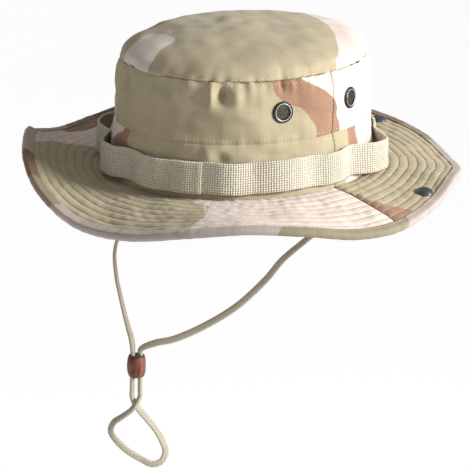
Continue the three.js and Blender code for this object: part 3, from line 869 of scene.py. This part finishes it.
def add_chin_cord():
    line, length = cord_line()
    count = len(line)
    share = np.linspace(0, 1, count)
    along = np.gradient(line, axis=0)
    along /= np.linalg.norm(along, axis=1, keepdims=True)
    broad = np.cross(along, np.array(VIEW_BACK))
    broad /= np.linalg.norm(broad, axis=1, keepdims=True)
    facing = np.cross(broad, along)
    roll = np.radians(np.interp(share, *zip(*LACE_ROLL)))
    steps = 20
    window = np.ones(2 * steps + 1) / (2 * steps + 1)
    roll = np.convolve(np.pad(roll, steps, "edge"), window, "valid")[:, None]
    wide = np.cos(roll) * broad + np.sin(roll) * facing
    thick = np.cross(along, wide)
    # flat is 1 where the lace is free and 0 where it is drawn together, over the slider's travel
    height = line[:, 2] - SLIDER_CENTRE[2]
    flat = 1 - ease(height, -32, -24) + ease(height, 9, 18)
    half_width = GATHERED_WIDTH + (LACE_WIDTH / 2 - GATHERED_WIDTH) * flat
    half_thickness = GATHERED_THICKNESS + (LACE_THICKNESS / 2 - GATHERED_THICKNESS) * flat

    def lace(step, around, out):
        spot = np.clip(np.rint(step).astype(int), 0, count - 1)
        x = np.sign(np.cos(around)) * np.abs(np.cos(around)) ** 0.85
        y = np.sign(np.sin(around)) * np.abs(np.sin(around)) ** 0.8
        ribs = 0.14 * np.abs(np.sin(2.2 * math.pi * x)) * np.abs(np.sin(around))
        across = (half_width[spot] + out) * x
        above = (half_thickness[spot] + out) * y + ribs * np.sign(y)
        return line[spot] + wide[spot] * across[:, None] + thick[spot] * above[:, None]

    def lace_map(step, around):
        return np.stack([around / math.tau * 2 * (LACE_WIDTH + LACE_THICKNESS),
                         step * length / count], axis=-1)

    bm = bent_cloth(lace, (count - 1, 24), (0, count - 1), (0, math.tau), flat=lace_map,
                    closed=True)
    ends = [e for e in bm.edges if e.is_boundary]
    bmesh.ops.holes_fill(bm, edges=ends, sides=0)
    bmesh.ops.recalc_face_normals(bm, faces=bm.faces)
    look = braid("braided lace", paint(188, 180, 160))
    cord = show("chin_cord_lace", bm, look, ["chin_cord"], body="strap")


def add_slider():
    """A barrel of leather with two holes through it for the cord."""
    half = SLIDER_HEIGHT / 2
    bm = turned([(SLIDER_RADIUS * (1 - 0.2 * abs(t) ** 3.2), half * t)
                 for t in np.linspace(-1, 1, 17)], 40, closed=False)
    for vert in bm.verts:
        turn = math.atan2(vert.co.y, vert.co.x)
        swell = 1 + 0.035 * math.sin(3 * turn + 1.2) * math.cos(vert.co.z / MM * 0.4)
        vert.co.x *= swell
        vert.co.y *= swell
    for across in (-SLIDER_HOLE_OFFSET, SLIDER_HOLE_OFFSET):
        rims = []
        for end in (-half, half):
            place = Matrix.Translation((across * MM, across * MM, end * MM))
            rims += bmesh.ops.create_circle(bm, segments=20, radius=SLIDER_HOLE_RADIUS * MM,
                                            matrix=place)["verts"]
        bmesh.ops.bridge_loops(bm, edges=list({e for v in rims for e in v.link_edges}))
    for end in (-1, 1):
        rims = [e for e in bm.edges if e.is_boundary and e.verts[0].co.z * end > 0]
        bmesh.ops.triangle_fill(bm, edges=rims, use_beauty=True)
    bmesh.ops.recalc_face_normals(bm, faces=bm.faces)
    soften(bm, 0.4, 2, 50)
    rim_mark = bm.verts.layers.float.new("rim_mark")
    for vert in bm.verts:
        vert[rim_mark] = min(max((abs(vert.co.z / MM) / half - 0.7) / 0.3, 0), 1)
    bmesh.ops.translate(bm, verts=bm.verts, vec=Vector(SLIDER_CENTRE) * MM)
    show("slider_barrel", bm, slider_leather("brown slider leather"),
         ["cord_slider"], body="slider")


# ---------------------------------------------------------------- crown
EAR_GAP = 0.0006
HALVES = {"back": (EAR_GAP, math.pi - EAR_GAP), "front": (math.pi + EAR_GAP, math.tau - EAR_GAP)}


def add_crown(cloth, cotton):
    """Side and band panels that lap at their seam, the top panel, and the seams' stitching."""
    for half, turns in HALVES.items():
        side = bent_cloth(crown_cloth, (300, 46), turns, (BAND_HEIGHT - SEAM_LAP, CROWN_HEIGHT + 1),
                          prints={"sand": wall_print(SIDE_SAND), "brown": wall_print(SIDE_BROWN)})
        for turn in VENT_TURNS.values():
            middle = Vector(crown_wall(np.array(turn), np.array(VENT_HEIGHT), 0)) * MM
            cut_out = [face for face in side.faces
                       if (face.calc_center_median() - middle).length < VENT_CUT * MM]
            bmesh.ops.delete(side, geom=cut_out, context="FACES")
        show(f"side_panel_{half}", side, cloth, [f"crown_side_{half}"], CLOTH)
        band = bent_cloth(crown_cloth, (240, 34), turns, (0.3, BAND_HEIGHT + SEAM_LAP),
                          depth=lambda turn, up: -0.5 * ease(
                              up, BAND_HEIGHT - SEAM_LAP, BAND_HEIGHT),
                          prints={"sand": wall_print(BAND_SAND), "brown": wall_print(BAND_BROWN)})
        show(f"band_panel_{half}", band, cloth, [f"crown_band_{half}"], CLOTH)
    top = bent_cloth(top_cloth, (320, 60), (0, math.tau), (0, 1), closed=True,
                     flat=lambda turn, climb: dome(turn, climb, 0)[:, :2],
                     prints={"sand": top_print(TOP_SAND), "brown": no_patch})
    show("top_panel", top, cloth, ["crown_top"], CLOTH)

    stitches = bmesh.new()
    turns = row_round(MEAN_RADIUS)
    sew(stitches, crown_cloth, turns, 0 * turns + BAND_HEIGHT + 1.7)
    turns = row_round(87)
    sew(stitches, crown_cloth, turns, 0 * turns + CROWN_HEIGHT - 1.8)
    sew(stitches, top_cloth, turns, 0 * turns + 0.035)
    for ear in (0, math.pi):
        for side in (-1, 1):
            ups = np.arange(3, CROWN_HEIGHT - 2, 3.0)
            sew(stitches, crown_cloth, 0 * ups + ear + side * 0.017, ups, turn=math.pi / 2)
    show("crown_stitching", stitches, cotton)


def add_lining(lining, cotton):
    def inside(turn, up, out):
        return crown_wall(turn, up, wall_relief(turn, up) - CLOTH - 0.5 + out)

    tape = bent_cloth(inside, (240, 6), (0, math.tau), (71, 79.2), closed=True)
    show("seam_tape", tape, lining, ["top_seam_binding"], 0.6)
    sew_rows("seam_tape_stitching", cotton, lambda turn, up, out: inside(turn, up, -0.6 - out),
             82, (72.2, 77.8))


def add_sweatband(cloth, cotton):
    def band(turn, up, out):
        lean = PANEL_LEAN * np.maximum(up, 0) / BAND_HEIGHT
        flat = oval(turn, lean, -1.5, up)
        loose = 0.35 * ripple(flat, 26, 31) * ease(up, 0, 14) - 0.5 * near(up, -2.6, 0.9)
        fold = -0.5 * ease(up, 25, 26)
        return oval(turn, lean, -1.7 + loose + fold + out, up)

    sheet = bent_cloth(band, (300, 34), (0, math.tau), (-BRIM_STACK, 28.4), closed=True)
    show("sweatband_strip", sheet, cloth, ["sweatband"], 1.0)
    sew_rows("sweatband_stitching", cotton, lambda turn, up, out: band(turn, up, -1.0 - out),
             84, (-1.8, 24.2))


# ---------------------------------------------------------------- brim
def add_brim(cloth, cotton):
    edge = BRIM_WIDTH - 1.4
    for half, turns in HALVES.items():
        top = bent_cloth(brim_cloth, (330, 84), turns, (-0.8, edge), flat=spread,
                         prints={"sand": brim_print(BRIM_SAND[half]),
                                 "brown": brim_print(BRIM_BROWN[half])})
        show(f"brim_upper_{half}", top, cloth, [f"brim_top_{half}"], 0.7)
        under = bent_cloth(under_cloth, (330, 84), turns, (-0.8, edge), flat=spread,
                           prints={"sand": brim_print(UNDER_SAND),
                                   "brown": brim_print(UNDER_BROWN)})
        show(f"brim_lower_{half}", under, cloth, [f"brim_under_{half}"], 0.7)
    for name, surface in (("top", brim_cloth), ("under", under_cloth)):
        stitches = bmesh.new()
        for row in range(ROW_COUNT):
            reach = ROW_FIRST + row * ROW_PITCH
            turns = row_round(MEAN_RADIUS + reach, 3.2)
            sew(stitches, surface, turns, 0 * turns + reach)
        show(f"brim_stitching_{name}", stitches, cotton)


# the folded tape from its upper edge to its lower one: reach and lift at each measure across it
TAPE_CORNERS = [
    (BRIM_WIDTH - BINDING_WIDTH, 0.9), (BRIM_WIDTH - 2, 1.1), (BRIM_WIDTH - 0.7, 0.7),
    (BRIM_WIDTH, -BRIM_STACK / 2), (BRIM_WIDTH - 0.7, -BRIM_STACK - 0.7),
    (BRIM_WIDTH - 2, -BRIM_STACK - 1.1), (BRIM_WIDTH - BINDING_WIDTH, -BRIM_STACK - 0.9),
]
TAPE_MEASURES = [0, 5, 6.6, 9.1, 11.6, 13.2, TAPE_WIDTH]
TAPE_ROWS = (1.6, 16.6)


def tape_corner(across):
    return [np.interp(across, TAPE_MEASURES, corners) for corners in zip(*TAPE_CORNERS)]


def tape_fold(turn, across, out):
    """The tape folded over the brim's edge, puckered and drawn in along its two rows of thread."""
    reach, lift = tape_corner(across)
    ahead, rise = tape_corner(across + 0.4)
    behind, fall = tape_corner(across - 0.4)
    size = np.hypot(ahead - behind, rise - fall)
    puckers = 0.16 * ripple(brim_face(turn, 0 * turn + BRIM_WIDTH, 0) * (1, 1, 0), 8, 41)
    for row in TAPE_ROWS:
        puckers = puckers - 0.2 * near(across, row, 0.8)
    off = out + puckers
    return brim_face(turn, reach + off * (fall - rise) / size, lift + off * (ahead - behind) / size)


def add_binding(cloth, cotton):
    tape = bent_cloth(tape_fold, (620, 22), (0, math.tau), (0, TAPE_WIDTH), closed=True,
                      flat=lambda turn, across: np.stack(
                          [turn * (MEAN_RADIUS + BRIM_WIDTH), across], axis=-1),
                      prints={"sand": edge_print(EDGE_SAND), "brown": edge_print(EDGE_BROWN)})
    show("edge_tape_fold", tape, cloth, ["brim_binding"], 0.6)
    sew_rows("edge_tape_stitching", cotton, tape_fold, MEAN_RADIUS + BRIM_WIDTH - 5, TAPE_ROWS)


# ---------------------------------------------------------------- foliage loops
def loop_stand_off(degrees):
    """How far the webbing stands off the crown between one tack and the next."""
    stand = 0 * degrees
    for first, last, bulge in zip(TACKS, TACKS[1:], LOOP_BULGES):
        share = np.clip((degrees - first) / (last - first), 0, 1)
        stand = stand + bulge * np.sin(math.pi * share) ** 1.5
    return stand


def webbing_face(turn, up, out):
    degrees = np.degrees(turn)
    lap = 1.9 * ease(degrees, TACKS[-2], TACKS[-1])
    bulge = loop_stand_off(degrees)
    girth = crown_wall(turn, 0 * up + 15, 0)
    slack = 0.3 * ripple(girth + turn[..., None] * 3, 14, 51)
    flare = bulge * 0.16 * ((up - WEBBING_LIFT) / WEBBING_WIDTH - 0.5)
    sag = 0.9 * ripple(girth, 60, 52) + 0.3 * ripple(girth, 14, 53) - 2.5 * near(degrees, 44, 20)
    stand = 0.8 + lap + bulge + slack + flare + WEBBING_THICKNESS
    return crown_wall(turn, np.clip(up + sag, 0.5, 60), stand + out)


def add_webbing(weave, cotton):
    turns = (math.radians(TACKS[-1] - 360), math.radians(TACKS[0] + 360))
    strip = bent_cloth(webbing_face, (700, 16), turns, (WEBBING_LIFT, WEBBING_LIFT + WEBBING_WIDTH),
                       depth=lambda turn, up: -0.35 * near(up, WEBBING_LIFT, 0.8)
                       - 0.35 * near(up, WEBBING_LIFT + WEBBING_WIDTH, 0.8))
    show("loop_webbing", strip, weave, ["foliage_band"], WEBBING_THICKNESS - 0.2)
    stitches = bmesh.new()
    ups = np.arange(WEBBING_LIFT + 1.5, WEBBING_LIFT + WEBBING_WIDTH - 1, 0.9)
    zigzag = 0.5 * (-1) ** np.arange(len(ups)) / MEAN_RADIUS
    for tack in TACKS:
        sew(stitches, webbing_face, math.radians(tack) + zigzag, ups, 1.8, 0.4, 0.4, turn=0.35)
    end = turns[1] - 0.025
    sew(stitches, webbing_face, end + zigzag, ups, 1.8, 0.4, 0.4, turn=-0.35)
    show("loop_tacks", stitches, cotton)


# ---------------------------------------------------------------- vents and snaps
def arc(centre, radii, first, last, steps):
    angles = np.radians(np.linspace(first, last, steps))
    return [(centre[0] + radii[0] * math.cos(a), centre[1] + radii[1] * math.sin(a))
            for a in angles]


def wire(bm, start, end, weave_phase):
    """One wire of a screen, waving over and under the wires it crosses."""
    length = (end - start).length
    steps = max(int(length / 0.5), 3)
    along = (end - start).normalized()
    side = along.cross(Vector((0, 0, 1)))
    rings = []
    for k in range(steps + 1):
        middle = start + along * (length * k / steps)
        spot = middle.dot(along)
        wave = WIRE_WAVE * math.sin(math.pi * spot / WIRE_PITCH + weave_phase)
        middle = middle + Vector((0, 0, wave))
        ring = bmesh.ops.create_circle(bm, segments=5, radius=WIRE_RADIUS * MM, matrix=Matrix((
            side, Vector((0, 0, 1)), along)).transposed().to_4x4())["verts"]
        bmesh.ops.translate(bm, verts=ring, vec=middle * MM)
        rings.append(ring)
    for near_ring, far_ring in zip(rings, rings[1:]):
        for k in range(5):
            bm.faces.new((near_ring[k - 1], near_ring[k], far_ring[k], far_ring[k - 1]))
    bm.faces.new(rings[0])
    bm.faces.new(rings[-1])


def screen():
    """Crossing wires that fill the vent's bore, in its own frame."""
    bm = bmesh.new()
    reach = VENT_BORE - 0.25
    for k in range(-5, 6):
        off = k * WIRE_PITCH
        half = math.sqrt(max(reach ** 2 - off ** 2, 0.3))
        phase = math.pi * (k % 2)
        wire(bm, Vector((off, -half, SCREEN_LIFT)), Vector((off, half, SCREEN_LIFT)), phase)
        wire(bm, Vector((-half, off, SCREEN_LIFT)), Vector((half, off, SCREEN_LIFT)),
             phase + math.pi)
    bmesh.ops.recalc_face_normals(bm, faces=bm.faces)
    return bm


def placed_copy(bm, place):
    one = bm.copy()
    bmesh.ops.transform(one, matrix=place, verts=one.verts)
    return one


def mark_pale_ring(bm, share):
    rim_mark = bm.verts.layers.float.new("rim_mark")
    for vert in bm.verts:
        radius = math.hypot(vert.co.x, vert.co.y) / MM
        vert[rim_mark] = share(radius, vert.co.z / MM)


def add_vents():
    # the pale tone is the eyelets' painted highlight on the bead, and also shows in their random
    # scuffs
    black = enamel("black eyelet enamel", paint(38, 40, 44), paint(196, 192, 184))
    mesh_metal = dull_metal("screen wire", paint(58, 59, 62), 0.6)
    brass = dull_metal("aged brass", paint(150, 128, 82), 0.4)
    lip = arc((6.9, 0.5), (0.6, 0.5), 0, 150, 7)
    bead = arc((5.85, 0.75), (0.45, 0.5), 10, 180, 7)
    flange = turned([
        (VENT_BORE, -2.9), (6.0, -2.9), (6.0, 0.1), (7.5, 0.1), *lip, *bead,
        (VENT_BORE, 0.35),
    ], 64)
    # painted highlight: a pale ring of bare-metal colour round the crest of the bead
    mark_pale_ring(flange, lambda radius, height: 1.1 * float(
        near(radius, 5.8, 0.34) * ease(height, 0.5, 0.9)))
    washer = turned([(6.3, -2.8), (VENT_RADIUS, -2.8), (VENT_RADIUS, -2.0), (6.3, -2.0)], 48)
    soften(washer, 0.2)
    wires = screen()
    for name, turn in VENT_TURNS.items():
        place = frame_on(crown_wall, turn, VENT_HEIGHT, 1)
        show(f"eyelet_{name}", placed_copy(flange, place), black,
             [f"vent_flange_{name}"])
        show(f"screen_{name}", placed_copy(wires, place), mesh_metal,
             [f"vent_screen_{name}"])
        show(f"washer_{name}", placed_copy(washer, place), brass,
             [f"vent_washer_{name}"])
    return brass


def add_snaps(brass):
    blue_grey = enamel("snap enamel", paint(74, 80, 84), paint(150, 152, 150), 0.34)
    post = -BRIM_STACK - 1.5
    cap = turned([
        (0, post), (1.6, post), (1.7, post + 0.2), (1.7, 0.7), (5.6, 0.7),
        *arc((5.5, 1.15), (0.5, 0.45), -80, 40, 5), *arc((0, 1.2), (5.6, 2.3), 15, 90, 10),
    ], 48, closed=False)
    mark_pale_ring(cap, lambda radius, height: 0.5 * float(near(radius, 5.8, 0.4)))
    top = -BRIM_STACK - 0.6
    socket = turned([
        (3.2, top - 3), (3.6, top - 3), (3.9, top - 2.2), (4.9, top - 2.2), (5.2, top - 2.9),
        (5.5, top - 2.6), (5.5, top - 0.3), (5.2, top), (2.1, top), (2.1, post - 0.3),
        (3.2, post - 0.3),
    ], 48)
    soften(socket, 0.12)
    for name, turn in (("left", SNAP_TURN), ("back", math.pi / 2), ("right", math.pi - SNAP_TURN)):
        place = frame_on(brim_face, turn, SNAP_REACH, -1)
        show(f"cap_{name}", placed_copy(cap, place), blue_grey,
             [f"snap_cap_{name}"])
        show(f"socket_{name}", placed_copy(socket, place), brass,
             [f"snap_socket_{name}"])


def add_anchors(weave, cotton):
    """The folded tabs under the brim that the cord's ends are sewn into."""
    for name, end in (("right", CORD_ROUTE[0]), ("left", CORD_ROUTE[-1])):
        bm = bmesh.new()
        middle = Vector(end) + Vector((0, 0, TAB_LIFT + TAB_SIZE[2] / 2))
        size = Matrix.Diagonal((*(side * MM for side in TAB_SIZE), 1))
        bmesh.ops.create_cube(bm, size=1, matrix=Matrix.Translation(middle * MM) @ size,
                              calc_uvs=True)
        soften(bm, 0.7, 3)
        cloth_map = bm.loops.layers.uv.verify()
        for face in bm.faces:
            for loop in face.loops:
                loop[cloth_map].uv = (loop.vert.co.x, loop.vert.co.y + loop.vert.co.z)
        show(f"cord_tab_{name}", bm, weave, [f"cord_anchor_{name}"])
        stitches = bmesh.new()

        def underside(x, y, out):
            return np.stack([x, y, end[2] + TAB_LIFT - out + 0 * x], axis=-1)

        spots = np.arange(-4, 4.1, 1.6)
        for side in (-1, 1):
            sew(stitches, underside, end[0] + 0.8 * spots, 0 * spots + end[1] + side * 4.6, 1.3)
            sew(stitches, underside, 0 * spots + end[0] + side * 3.4, end[1] + spots, 1.3,
                turn=math.pi / 2)
        show(f"cord_tab_stitching_{name}", stitches, cotton)


# ---------------------------------------------------------------- studio
def add_light(name, place, size, power):
    lamp = bpy.data.lights.new(name, "AREA")
    lamp.shape = "DISK"
    lamp.size = size
    lamp.energy = power
    light = bpy.data.objects.new(name, lamp)
    bpy.context.collection.objects.link(light)
    light.location = place
    light.rotation_mode = "QUATERNION"
    light.rotation_quaternion = (-Vector(place)).to_track_quat("-Z", "Y")


def add_studio():
    world = bpy.data.worlds.new("pale room")
    world.use_nodes = True
    world.node_tree.nodes["Background"].inputs["Color"].default_value = (1, 1, 1, 1)
    world.node_tree.nodes["Background"].inputs["Strength"].default_value = 0.38
    bpy.context.scene.world = world
    bpy.context.scene.view_settings.view_transform = "Standard"
    floor = bmesh.new()
    bmesh.ops.create_circle(floor, cap_ends=True, segments=64, radius=40)
    bmesh.ops.translate(floor, verts=floor.verts, vec=(0, 0, -3.0))
    mesh = bpy.data.meshes.new("studio_floor")
    floor.to_mesh(mesh)
    floor.free()
    look = Finish("pale floor", 0.9)
    tone = look.span(look.noise(look.solid(), 0.3), 0.3, 0.7, 0.97, 1.0)
    look.shader.inputs["Emission Color"].default_value = (1, 1, 1, 1)
    look.shader.inputs["Emission Strength"].default_value = 0.6
    mesh.materials.append(look.finish(look.shade((0.97, 0.97, 0.97, 1), tone)))
    piece = bpy.data.objects.new("studio_floor", mesh)
    bpy.context.collection.objects.link(piece)
    add_light("key_light", (2.05, 1.09, 0.9), 0.8, 116)


def dress_cad(lining):
    """The interlining is the only CAD node that keeps its own shape."""
    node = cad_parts["brim_interlining"]
    node.data.materials.clear()
    node.data.materials.append(lining)


def solid_cloth(name, tone):
    look = Finish(name, 0.95, sheen=0.1, specular=0.2)
    fibres = look.noise(look.solid(), 1800, 4.0, 0.65)
    return look.finish(look.shade(tone, look.span(fibres, 0.3, 0.7, 0.85, 1.1)), fibres, 0.4, 0.3)


add_camera()
add_chin_cord()
add_slider()
crown_print = printed_cloth("printed crown cotton")
brim_print_cloth = printed_cloth("printed brim cotton", quilted=True)
cotton_thread = thread("cotton thread", paint(196, 186, 156))
webbing_look = webbing_weave("coarse webbing", paint(222, 214, 192))
add_crown(crown_print, cotton_thread)
add_lining(plain_cloth("seam tape cotton", LINING), cotton_thread)
add_sweatband(plain_cloth("sweatband twill", paint(178, 168, 138), 1.4), cotton_thread)
add_brim(brim_print_cloth, cotton_thread)
# painted shade: the edge tape's colour is scaled down to 0.62 all over
add_binding(printed_cloth("printed edge tape", painted_shade_factor=0.62), cotton_thread)
add_webbing(webbing_look, cotton_thread)
aged_brass = add_vents()
add_snaps(aged_brass)
add_anchors(webbing_look, cotton_thread)
dress_cad(solid_cloth("interlining felt", LINING))
add_studio()
